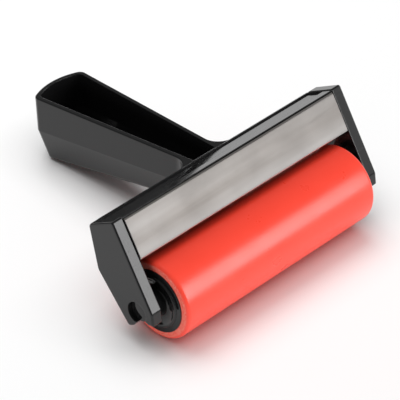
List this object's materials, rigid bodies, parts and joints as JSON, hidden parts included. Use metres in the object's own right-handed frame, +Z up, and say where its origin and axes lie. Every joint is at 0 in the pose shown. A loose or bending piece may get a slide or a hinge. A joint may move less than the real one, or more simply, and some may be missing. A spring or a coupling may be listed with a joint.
{
  "type": "rubber brayer",
  "caption": "Hand roller for ink: a soft rubber sleeve turns between the cheeks of a moulded head with a steel face plate and a hollow trough handle.",
  "frame": {"origin": "bottom centre of the bounding box, on the bench the tool stands on", "axes": "+X along the roller, +Y backwards from the roller towards the end of the handle, +Z up; the tool stands on its roller and on the rear end of its handle"},
  "size_m": [0.1194, 0.1202, 0.0473],
  "materials": {
    "frame_plastic": "satin black moulding",
    "plate_steel": "brushed lengthwise",
    "sleeve_rubber": "smooth ground rubber",
    "core_plastic": "plain extruded tube",
    "cap_plastic": "gloss black moulding"
  },
  "bodies": {
    "holder": {"frame": "frame_plastic", "face_plate": "plate_steel"},
    "roller": {"roller_sleeve": "sleeve_rubber", "roller_core": "core_plastic", "end_cap_left": "cap_plastic", "end_cap_right": "cap_plastic"}
  },
  "joints": [
    {"name": "roller_spin", "type": "hinge", "parent": "holder", "child": "roller", "pos_m": [0, -0.04449, 0.0156], "axis": [1, 0, 0], "continuous": true}
  ]
}
